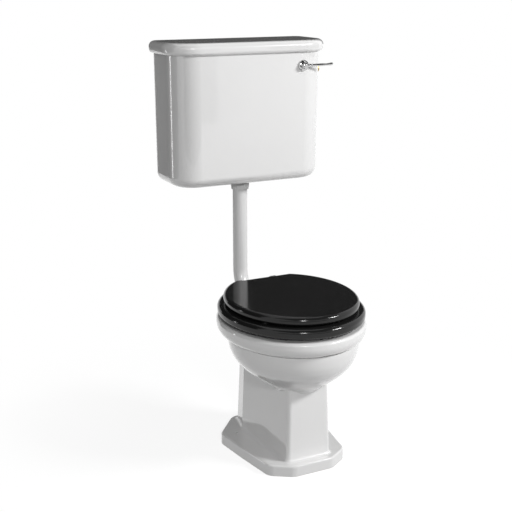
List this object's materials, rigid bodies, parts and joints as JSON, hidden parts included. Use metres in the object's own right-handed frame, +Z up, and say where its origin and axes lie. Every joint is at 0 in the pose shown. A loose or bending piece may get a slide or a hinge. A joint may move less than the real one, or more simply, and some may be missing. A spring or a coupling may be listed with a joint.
{
  "type": "toilet suite",
  "caption": "Low-level toilet suite: glazed pan with black hinged seat and lid, wall-hung cistern with lift-off cover, side flush lever, siphon, float valve and bent flush pipe",
  "frame": {"origin": "On the floor, on the centre line, under the middle of the pan's foot.", "axes": "+Z up; the user sits facing -Y; +Y points at the wall, whose face is at y = 0.350 m; +X is the lever side."},
  "size_m": [0.497, 0.61, 1.08],
  "materials": {
    "china": "white vitreous glaze, glossy",
    "seat_black": "black, high gloss",
    "rubber_black": "matt black rubber",
    "chrome": "polished chrome plate",
    "brass": "machined brass, dull",
    "pipe_white": "white, satin gloss",
    "inner_plastic": "off-white moulded plastic",
    "float_plastic": "black moulded plastic"
  },
  "bodies": {
    "suite": {"pan": "china", "pan_rim": "china", "pan_channel": "china", "pan_throat": "china", "pan_trap": "china", "pan_foot": "china", "pan_heel": "china", "flush_cone": "rubber_black", "hinge_pillars": "chrome", "hinge_studs": "brass", "hinge_washers": "rubber_black", "hinge_wing_nuts": "brass", "hinge_rod": "chrome", "cistern": "china", "flush_pipe": "pipe_white", "flush_pipe_nut": "pipe_white", "flush_pipe_washer": "rubber_black", "siphon": "inner_plastic", "siphon_washer": "rubber_black", "siphon_back_nut": "inner_plastic", "lever_boss": "chrome", "lever_back_nut": "brass", "float_valve_body": "brass", "float_valve_washer": "rubber_black", "float_valve_back_nut": "brass", "float_pivot_pin": "brass"},
    "seat": {"seat_ring": "seat_black", "seat_buffers": "rubber_black"},
    "lid": {"seat_lid": "seat_black", "lid_buffers": "rubber_black"},
    "lever": {"lever_handle": "chrome", "lever_spindle": "brass", "lever_crank": "brass"},
    "lift": {"siphon_lift_rod": "inner_plastic", "siphon_plate": "inner_plastic", "siphon_diaphragm": "rubber_black"},
    "float": {"float_arm": "brass", "float_ball": "float_plastic"},
    "piston": {"float_valve_piston": "brass"},
    "cover": {"cistern_lid": "china"}
  },
  "joints": [
    {"name": "seat_hinge", "type": "hinge", "parent": "suite", "child": "seat", "pos_m": [0, 0.151, 0.414], "axis": [-1, 0, 0], "range_deg": [0, 86]},
    {"name": "lid_hinge", "type": "hinge", "parent": "seat", "child": "lid", "pos_m": [0, 0.151, 0.414], "axis": [1, 0, 0], "range_deg": [-86, 0]},
    {"name": "flush_lever", "type": "hinge", "parent": "suite", "child": "lever", "pos_m": [0.146, 0.16, 1.013], "axis": [0, 1, 0], "range_deg": [0, 30]},
    {"name": "siphon_lift", "type": "slide", "parent": "suite", "child": "lift", "axis": [0, 0, 1], "range_m": [0, 0.0456]},
    {"name": "float_hinge", "type": "hinge", "parent": "suite", "child": "float", "pos_m": [0.168, 0.29, 0.975], "axis": [0, 1, 0], "range_deg": [0, 22]},
    {"name": "valve_piston", "type": "slide", "parent": "suite", "child": "piston", "axis": [1, 0, 0], "range_m": [0, 0.0046]},
    {"name": "cover_lift", "type": "slide", "parent": "suite", "child": "cover", "axis": [0, 0, 1], "range_m": [0, 0.08]}
  ],
  "couplings": [
    {"joint": "siphon_lift", "follows": "flush_lever", "m_per_rad": 0.087},
    {"joint": "valve_piston", "follows": "float_hinge", "m_per_rad": 0.01198}
  ]
}
